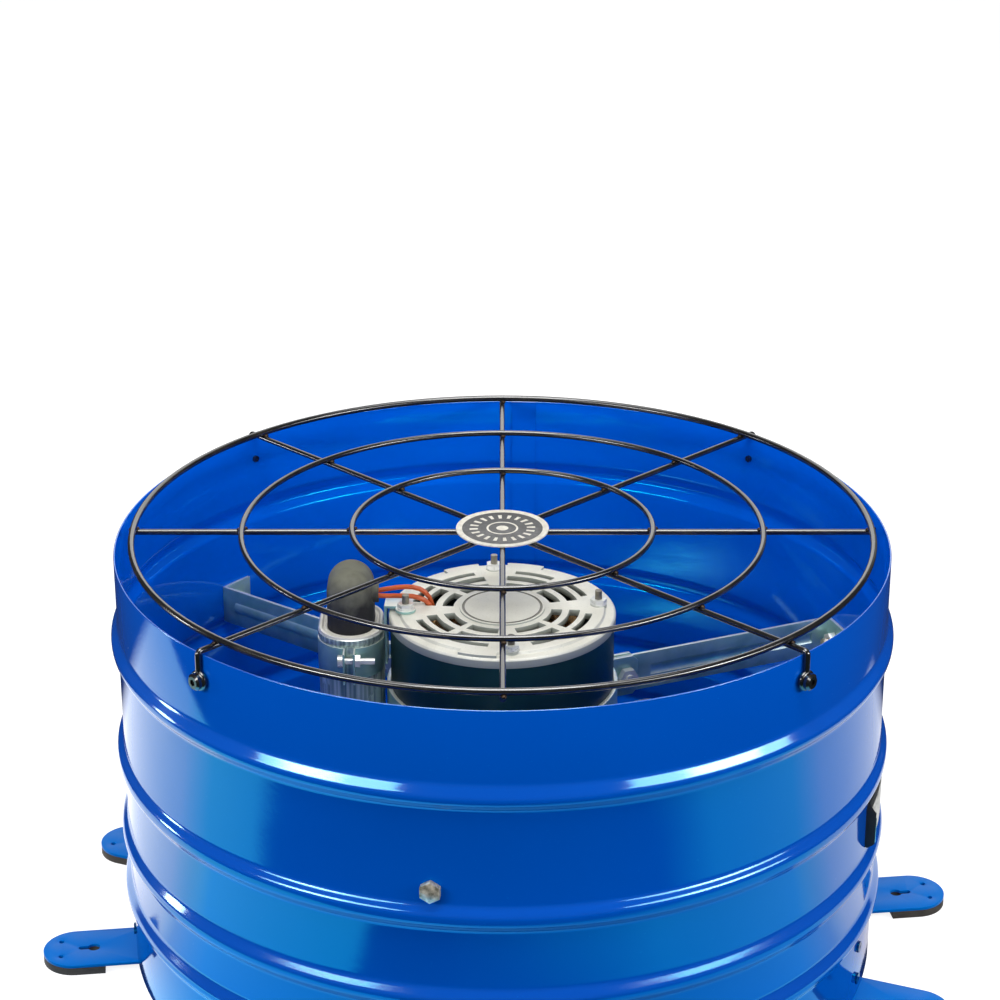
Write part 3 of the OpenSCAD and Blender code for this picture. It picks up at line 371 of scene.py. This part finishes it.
# The last colour of the zinc and of the can is a painted highlight on their upward faces
zinc = bare_metal("zinc_sheet", rgb(0.4, 0.62, 0.58), rgb(0.24, 0.46, 0.42), 0.26, (20, 20, 60), 0.02, 0.5,
                  painted_top_light=rgb(0.82, 0.86, 0.78))
can_metal = bare_metal("can_aluminium", rgb(0.66, 0.8, 0.72), rgb(0.1, 0.18, 0.18), 0.2, (40, 40, 0.4), 0.1,
                       0.45, drawn=True, painted_top_light=rgb(0.85, 0.85, 0.8))
bolt_steel = bare_metal("bolt_steel", rgb(0.36, 0.34, 0.28), rgb(0.12, 0.11, 0.09), 0.25, metallic=0.8)
passivated = bare_metal("passivated_bolt", rgb(0.8, 0.72, 0.6), rgb(0.15, 0.14, 0.1), 0.2, (60, 60, 60),
                        0.3, 0.4, patch=330)
tin = bare_metal("terminal_tin", rgb(0.7, 0.69, 0.66), rgb(0.5, 0.49, 0.46), 0.25)
lead_finish = insulation("lead_insulation", rgb(0.56, 0.1, 0.022), rgb(0.36, 0.05, 0.012))
hub_metal = bare_metal("hub_zinc", rgb(0.6, 0.62, 0.63), rgb(0.42, 0.43, 0.45), 0.3)
blade_metal = bare_metal("blade_aluminium", rgb(0.7, 0.71, 0.72), rgb(0.55, 0.56, 0.57), 0.32, (3, 60, 60))
black_screw = wire_enamel("black_screw")
guard_finish = wire_enamel("guard_enamel")
disc_finish = disc_print("disc_enamel")
weld_finish = bare_metal("weld_scorch", rgb(0.09, 0.06, 0.04), rgb(0.02, 0.018, 0.016), 0.3)
cream_enamel = satin_paint("cream_enamel", rgb(0.74, 0.72, 0.64), rgb(0.6, 0.58, 0.5))
badge_black = rubber("badge_black", rgb(0.008, 0.008, 0.009), rgb(0.02, 0.02, 0.022))
badge_silver = bare_metal("badge_silver", rgb(0.7, 0.7, 0.64), rgb(0.3, 0.31, 0.26), 0.25, (30, 30, 300),
                          0.1, patch=260)

SLOT_FINISH = {
    "blue_paint": bracket_paint, "rivet_paint": rivet_shade_finish, "pad_rubber": pad_finish,
    "motor_paint": motor_finish, "cast_aluminium": casting, "lamination_steel": laminations,
    "copper_winding": copper, "rotor_aluminium": ring_metal, "shaft_steel": shaft_metal,
    "bearing_bronze": bronze, "zinc_fastener": zinc_bolt, "zinc_sheet": zinc,
    "can_aluminium": can_metal, "tinned_brass": tin, "boot_rubber": boot_finish,
    "lead_insulation": lead_finish, "hub_steel": hub_metal, "blade_aluminium": blade_metal,
    "black_screw": black_screw, "guard_wire": guard_finish, "disc_enamel": disc_finish,
}


def finish_cad_nodes():
    """Gives every CAD node the finish of its slot, and two sets of bolts their own plating."""
    for entry in frame["record"]["subparts"]:
        mesh = frame["nodes"][entry["node"]].data
        mesh.materials.clear()
        mesh.materials.append(SLOT_FINISH[entry["material_slot"]])
    frame["nodes"]["through_bolts"].data.materials[0] = bolt_steel
    frame["nodes"]["arm_bolts"].data.materials[0] = passivated


# Modelling tools

def only(piece):
    """Selects one piece alone, because the CAD nodes are left selected when they are loaded."""
    bpy.ops.object.select_all(action="DESELECT")
    piece.select_set(True)
    bpy.context.view_layer.objects.active = piece


def edit(piece):
    only(piece)
    bpy.ops.object.mode_set(mode="EDIT")
    bpy.ops.mesh.select_all(action="SELECT")


def done():
    bpy.ops.object.mode_set(mode="OBJECT")


def named(name):
    piece = bpy.context.object
    piece.name = name
    piece.data.name = name
    return piece


def apply(piece, kind, **settings):
    only(piece)
    modifier = piece.modifiers.new(kind.lower(), kind)
    for name, value in settings.items():
        setattr(modifier, name, value)
    bpy.ops.object.modifier_apply(modifier=modifier.name)


def settle(piece):
    """Leaves the piece at the origin, unturned and unscaled, with its place in its mesh."""
    only(piece)
    bpy.ops.object.transform_apply(location=True, rotation=True, scale=True)


def smooth(piece, angle):
    only(piece)
    bpy.ops.object.shade_smooth_by_angle(angle=math.radians(angle))


def lathe(name, outline, steps, turn=2 * math.pi, start=0.0):
    """One point drawn out along an outline of radii and heights, then spun about Z."""
    bpy.ops.object.select_all(action="DESELECT")
    bpy.ops.mesh.primitive_plane_add(size=0.001, location=(0, 0, 0))
    piece = named(name)
    edit(piece)
    bpy.ops.mesh.merge(type="CENTER")
    radius, height = outline[0]
    bpy.ops.transform.translate(value=(radius, 0, height))
    for (r0, z0), (r1, z1) in zip(outline, outline[1:]):
        bpy.ops.mesh.extrude_vertices_move(TRANSFORM_OT_translate={"value": (r1 - r0, 0, z1 - z0)})
    bpy.ops.mesh.select_all(action="SELECT")
    bpy.ops.mesh.spin(steps=steps, angle=turn, center=(0, 0, 0), axis=(0, 0, 1))
    bpy.ops.mesh.select_all(action="SELECT")
    bpy.ops.mesh.remove_doubles(threshold=1e-6)
    bpy.ops.mesh.normals_make_consistent(inside=False)
    done()
    piece.rotation_euler.z = start + turn
    settle(piece)
    return piece


def dress(piece, body, material, *nodes):
    """Puts the finish on a piece, fixes it to its body, and lets it stand for the named CAD nodes."""
    piece.data.materials.clear()
    piece.data.materials.append(material)
    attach(piece, body)
    if nodes:
        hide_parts(*nodes)


# Housing

def wall_outline():
    """Outer face of the wall from sill to rim, with straight-flanked beads rounded at their edges."""
    points = [(WALL_R, SILL_Z)]
    for drop, upper_flank in BEADS:
        middle = RIM_Z - drop
        half = BEAD_H / 2
        for side, flank in ((-1, LOWER_FLANK), (1, upper_flank)):
            slope = BEAD_OUT / flank
            corners = [(0.0, half + BEAD_SOFT), (0.0, half), (slope * BEAD_SOFT, half - BEAD_SOFT),
                       (BEAD_OUT - slope * BEAD_SOFT, half - flank + BEAD_SOFT), (BEAD_OUT, half - flank),
                       (BEAD_OUT, max(half - flank - BEAD_SOFT, 0.0))]
            arcs = bend(corners[:3]) + bend(corners[3:])
            if side > 0:
                arcs.reverse()
            points += [(WALL_R + out, middle + side * up) for out, up in arcs]
    points.append((WALL_R, RIM_Z))
    tidy = points[:1]
    for point in points[1:]:
        if math.dist(point, tidy[-1]) > 2e-5:
            tidy.append(point)
    return tidy


def bend(corners):
    """A soft turn from the first of three corners to the last, pulled towards the middle one."""
    (x0, y0), (x1, y1), (x2, y2) = corners
    turn = []
    for i in range(BEND_STEPS + 1):
        t = i / BEND_STEPS
        a, b, c = (1 - t) ** 2, 2 * t * (1 - t), t * t
        turn.append((a * x0 + b * x1 + c * x2, a * y0 + b * y1 + c * y2))
    return turn


def thicken(piece, thickness):
    """Gives a shell its sheet thickness, inwards."""
    apply(piece, "SOLIDIFY", thickness=thickness, offset=-1, use_even_offset=True, use_rim=True)
    edit(piece)
    bpy.ops.mesh.normals_make_consistent(inside=False)
    done()


def make_housing():
    """The wall as one turned sheet, and the lap seam at the back of its inner face."""
    wall = lathe("housing_wall", wall_outline(), WALL_STEPS)
    thicken(wall, SHEET)
    apply(wall, "BEVEL", width=RIM_ROUND, segments=3, limit_method="ANGLE", angle_limit=math.radians(60))
    smooth(wall, 50)
    dress(wall, "frame", paint, "housing_shell")
    inner_face = [(radius - SHEET - SEAM_GAP, height) for radius, height in wall_outline()]
    lap = lathe("housing_lap_seam", inner_face, 6, SEAM_TURN, SEAM_START)
    thicken(lap, SHEET * 0.9)
    smooth(lap, 40)
    dress(lap, "frame", paint)


# Bare badge on the wall

def bent_plate(name, out, low, high, inset, thickness, corner, edge):
    """A plate bent to the wall, with its face that far out from it and its ends that far in."""
    outline = [(WALL_R + out, low), (WALL_R + out, high)]
    plate = lathe(name, outline, 14, BADGE_TURN - 2 * inset, BADGE_START + inset)
    thicken(plate, thickness)
    round_corners(plate, corner, edge)
    smooth(plate, 30)
    return plate


def make_badge():
    """A dark plate bent to the wall, with a thin bare metal panel on it."""
    low = RIM_Z - BADGE_BOTTOM
    high = RIM_Z - BADGE_TOP
    plate = bent_plate("badge_plate", 0.0018, low, high, 0, 0.0017, 0.006, 0.0008)
    dress(plate, "frame", badge_black)
    panel = bent_plate("badge_panel", 0.0022, low + 0.002, high - 0.0055, BADGE_INSET, 0.0006, 0.0045,
                       0.00015)
    dress(panel, "frame", badge_silver)


def round_corners(piece, corner, edge):
    """Rounds the four through corners of a bent plate, then eases its edges."""
    edit(piece)
    bpy.ops.mesh.select_all(action="DESELECT")
    done()
    mesh = piece.data
    angles = [math.atan2(v.co.y, v.co.x) for v in mesh.vertices]
    heights = [v.co.z for v in mesh.vertices]
    first, last, low, high = min(angles), max(angles), min(heights), max(heights)
    for link in mesh.edges:
        ends = [mesh.vertices[i] for i in link.vertices]
        spots = [math.atan2(v.co.y, v.co.x) for v in ends]
        at_side = all(s < first + 0.001 for s in spots) or all(s > last - 0.001 for s in spots)
        at_end = all(v.co.z < low + 1e-5 for v in ends) or all(v.co.z > high - 1e-5 for v in ends)
        link.select = at_side and at_end
    only(piece)
    bpy.ops.object.mode_set(mode="EDIT")
    bpy.ops.mesh.select_mode(type="EDGE")
    bpy.ops.mesh.bevel(offset=corner, segments=5, affect="EDGES")
    bpy.ops.mesh.select_mode(type="VERT")
    done()
    apply(piece, "BEVEL", width=edge, segments=2, limit_method="ANGLE", angle_limit=math.radians(50))


# Capacitor

CAN_STRETCH = 0.008

# Radii and heights: the foot of the can over its base, then its seam and the cover from its top
CAN_FOOT = ((0, 0), (0.018, 0), (0.0192, 0.0005), (0.0195, 0.0018))
CAN_SEAM = ((0.0195, -0.0075), (0.0191, -0.0066), (0.0191, -0.0052), (0.0196, -0.0044), (0.0199, -0.003),
            (0.0197, -0.0012), (0.0188, -0.0004), (0.0182, -0.0012), (0, -0.0012))
COVER = ((0, -0.003), (0.0188, -0.003), (0.0191, -0.0006), (0.0187, 0.0003), (0.0174, 0.0004),
         (0.0168, -0.0003), (0.0164, -0.0009), (0.0157, -0.001), (0.0152, -0.0004), (0.0144, -0.0003),
         (0.0138, -0.001), (0, -0.001))


def raised(points, base):
    return [(radius, base + height) for radius, height in points]


def stadium(piece, shift):
    """Draws a turned piece out along its own Y into a flat-sided oval."""
    for side in (-1, 1):
        edit(piece)
        bpy.ops.mesh.select_all(action="DESELECT")
        done()
        for vertex in piece.data.vertices:
            vertex.select = vertex.co.y * side > 1e-5
        bpy.ops.object.mode_set(mode="EDIT")
        bpy.ops.transform.translate(value=(0, shift * side, 0))
        done()


def make_capacitor():
    """The can with its rolled seam, and the enamelled cover inside the seam."""
    low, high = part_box("capacitor_can")
    middle = ((low[0] + high[0]) / 2, (low[1] + high[1]) / 2)
    can = lathe("capacitor_body", raised(CAN_FOOT, low[2]) + raised(CAN_SEAM, high[2]), 64)
    cover = lathe("capacitor_cover", raised(COVER, high[2]), 64)
    for piece, finish, nodes in ((can, can_metal, ("capacitor_can",)), (cover, cream_enamel, ())):
        stadium(piece, CAN_STRETCH)
        piece.location = (middle[0], middle[1], 0)
        piece.rotation_euler.z = TURN
        settle(piece)
        smooth(piece, 40)
        dress(piece, "frame", finish, *nodes)


# Weld beads where the guard's spokes cross its rings

def make_welds():
    """Two flattened beads of scorched weld at each crossing, one on either side of the ring."""
    bpy.ops.object.select_all(action="DESELECT")
    beads = []
    for ring, lift in GUARD_RINGS:
        for step in range(SPOKES):
            turn = TURN + 2 * math.pi / SPOKES * step
            for side in (-1, 1):
                spot = (ring + side * WELD_OUT, side * WELD_ASIDE, RIM_Z + lift)
                bpy.ops.mesh.primitive_ico_sphere_add(subdivisions=2, radius=WELD_R, location=spot)
                bead = bpy.context.object
                bead.scale = (0.9, 1.1, 0.75)
                settle(bead)
                bead.rotation_euler.z = turn
                settle(bead)
                beads.append(bead)
    bpy.ops.object.select_all(action="DESELECT")
    for bead in beads:
        bead.select_set(True)
    bpy.context.view_layer.objects.active = beads[0]
    bpy.ops.object.join()
    welds = named("guard_welds")
    bpy.ops.object.shade_smooth()
    dress(welds, "frame", weld_finish)


# Sheet and cast parts with eased edges

CORNERS = ("right_rear", "left_rear", "left_front", "right_front")
BLADES = ("fan_blade_1", "fan_blade_2", "fan_blade_3", "fan_blade_4")
ROTOR_NODES = ("fan_hub", *BLADES)
EASED_EDGES = (
    (0.00035, ["bracket_" + corner for corner in CORNERS]),
    (0.0007, ["pad_" + corner for corner in CORNERS]),
    (0.0005, ["end_bell_top", "end_bell_bottom"]),
    (0.0004, ["arm_right", "arm_left", "arm_front"]),
    (0.0003, ["band_segment_1", "band_segment_2", "band_segment_3"]),
    (0.0002, ["capacitor_strap"]),
    (0.0003, ["capacitor_clip"]),
    (0.0006, ["fan_hub"]),
    (0.0003, [*BLADES, "guard_disc"]),
    (0.0006, ["arm_bolts"]),
    (0.0004, ["arm_nuts", "through_bolt_nuts"]),
)


def ease_edges(node, width):
    """A copy of a part's shell, joined up, with its sharp edges broken as on sheet and castings."""
    source = frame["nodes"][node]
    piece = bpy.data.objects.new(node + "_eased", source.data.copy())
    bpy.context.scene.collection.objects.link(piece)
    edit(piece)
    bpy.ops.mesh.customdata_custom_splitnormals_clear()
    bpy.ops.mesh.remove_doubles(threshold=2e-6)
    bpy.ops.mesh.dissolve_limited(angle_limit=math.radians(0.4))
    done()
    apply(piece, "BEVEL", width=width, segments=2, limit_method="ANGLE", angle_limit=math.radians(40))
    apply(piece, "TRIANGULATE")
    smooth(piece, 30)
    dress(piece, "rotor" if node in ROTOR_NODES else "frame", source.data.materials[0], node)


# Camera, light and backdrop

def make_camera():
    """The photograph's viewpoint: before the fan and over its rim, looking down."""
    camera = bpy.data.cameras.new("camera")
    camera.sensor_width = SENSOR
    camera.lens = SENSOR * FOCAL_PIXELS / PHOTO_PIXELS
    camera.clip_start = 0.05
    camera.clip_end = 30
    holder = bpy.data.objects.new("camera", camera)
    bpy.context.scene.collection.objects.link(holder)
    holder.location = at_guard(CAMERA_SIDE, -CAMERA_BACK, CAMERA_OVER_RIM)
    holder.rotation_euler = (math.pi / 2 - CAMERA_PITCH, 0, TURN)
    bpy.context.scene.camera = holder


def lamp(name, first, last, height, power, shape):
    """A softbox drawn out between two points, facing the fan."""
    first, last, target = at_guard(*first), at_guard(*last), at_guard(0, 0, -0.1)
    light = bpy.data.lights.new(name, "AREA")
    light.shape = shape
    light.size = (last - first).length
    light.size_y = height
    light.energy = power
    holder = bpy.data.objects.new(name, light)
    bpy.context.scene.collection.objects.link(holder)
    middle = (first + last) / 2
    along = (last - first).normalized()
    back = middle - target
    back = (back - along * back.dot(along)).normalized()
    turn = Matrix((along, back.cross(along), back)).transposed().to_4x4()
    holder.matrix_world = Matrix.Translation(middle) @ turn


class Backdrop(Finish):
    """The world under construction, with the same tools as a material."""

    def __init__(self):
        world = bpy.data.worlds.new("studio")
        bpy.context.scene.world = world
        world.use_nodes = True
        self.tree = world.node_tree
        self.tree.nodes.clear()
        self.output = self.tree.nodes.new("ShaderNodeOutputWorld")


def make_world():
    """Soft light all round, and white to the camera.

    Reflections show a pale wall behind the fan, a bright ceiling and a dark room before it.
    """
    w = Backdrop()
    direction = w.node("ShaderNodeTexCoord", output="Generated")
    behind = w.level(w.axis(direction, "Y"), 0.8, 0.9)
    zenith = w.level(w.axis(direction, "Z"), 0.88, 0.95)
    mirrored = behind * 0.35 + zenith * 3 + 0.06
    shader = None
    for ray, strength in ((None, 0.28), ("Is Glossy Ray", mirrored), ("Is Camera Ray", 1.0)):
        light = w.node("ShaderNodeBackground", None, {"Color": rgb(1, 1, 1), "Strength": strength})
        if ray:
            light = w.node("ShaderNodeMixShader", None,
                           {0: w.node("ShaderNodeLightPath", output=ray), 1: shader, 2: light})
        shader = light
    w.tree.links.new(shader.socket, w.output.inputs["Surface"])


def floor_finish():
    """White to the camera; in reflections two tables, whose front edges lie before the fan.

    The tables look blue-white before the fan, white at its sides, and darker close to the wall. Nothing
    glows under the fan or behind it, and to the camera the floor keeps its shadow.
    """
    f = Finish("floor_white")
    x, y = squared_to_guard(f)
    from_middle = x * x + y * y
    left = f.level(x, 0.08, -0.08)
    left_table = f.level(y, -0.362, -0.35) * f.level(y + x * 0.7, -0.605, -0.575) * 1.85
    right_table = f.level(y, -0.44, -0.34) * f.level(x, 0.575, 0.545) * 1.15
    outside = (from_middle > 0.0535) * f.level(y, 0.32, 0.26)
    side = f.level(y, -0.13, -0.03)
    near = f.level(from_middle + side * 0.07, 0.176, 0.137)
    glow = (left * left_table + (1 - left) * right_table) * outside * (near + 1) + 0.03
    far_tint = f.mix(side, rgb(0.26, 0.95, 1), rgb(0.95, 0.95, 1))
    tint = f.mix(near, far_tint, f.mix(side, rgb(0.1, 0.42, 0.78), rgb(0.34, 0.33, 0.36)))
    seen = f.node("ShaderNodeLightPath", output="Is Camera Ray")
    gloss = f.node("ShaderNodeLightPath", output="Is Glossy Ray")
    plain = f.node("ShaderNodeBsdfDiffuse", None, {"Color": rgb(0.16, 0.16, 0.16)})
    glowing = f.node("ShaderNodeEmission", None, {"Color": rgb(1, 1, 1), "Strength": 0.88})
    shaded = f.node("ShaderNodeBsdfDiffuse", None, {"Color": rgb(0.4, 0.4, 0.4)})
    white = f.node("ShaderNodeAddShader", None, {0: glowing, 1: shaded})
    mirror = f.node("ShaderNodeEmission", None, {"Color": tint, "Strength": glow})
    lit = f.node("ShaderNodeMixShader", None, {0: gloss, 1: plain, 2: mirror})
    both = f.node("ShaderNodeMixShader", None, {0: seen, 1: lit, 2: white})
    f.tree.links.new(both.socket, f.output.inputs["Surface"])
    return f.material


# Each softbox: its name, its two ends square to the guard, its height, its watts and its shape
SOFTBOXES = (
    ("key_panel", (-0.5, -0.6, 1.5), (0.5, -0.6, 1.5), 0.4, 10, "RECTANGLE"),
    ("top_panel", (-0.4, 0.1, 2), (0.4, 0.1, 2), 0.5, 8, "RECTANGLE"),
    ("rear_panel", (-0.8, 1.5, 0.75), (0.8, 1.5, 0.75), 1.2, 8, "RECTANGLE"),
    ("right_box", (0.62, -1, 0.475), (1.217, -0.22, 0.245), 0.24, 4.4, "ELLIPSE"),
    ("right_core", (0.82, -0.76, 0.4), (1.08, -0.4, 0.3), 0.1, 2.1, "ELLIPSE"),
    ("left_box", (-0.5, -1.04, 0.48), (-1.11, -0.494, 0.32), 0.24, 3.8, "ELLIPSE"),
    ("left_core", (-0.72, -0.84, 0.42), (-1, -0.58, 0.345), 0.1, 1.7, "ELLIPSE"),
    ("left_side_box", (-1.16, 0.03, 0), (-1.14, 0.21, 0), 0.2, 1.3, "ELLIPSE"),
)


def make_studio():
    """The floor just under the pads, and the softboxes."""
    bpy.ops.object.select_all(action="DESELECT")
    bpy.ops.mesh.primitive_plane_add(size=12, location=(0, 0, FLOOR_Z - 0.0002))
    floor = named("floor")
    floor.data.materials.append(floor_finish())
    settle(floor)
    for box in SOFTBOXES:
        lamp(*box)


bpy.context.scene.view_settings.view_transform = "Standard"
make_camera()
make_world()
finish_cad_nodes()
make_housing()
make_badge()
make_capacitor()
make_welds()
for width, nodes in EASED_EDGES:
    for node in nodes:
        ease_edges(node, width)
make_studio()
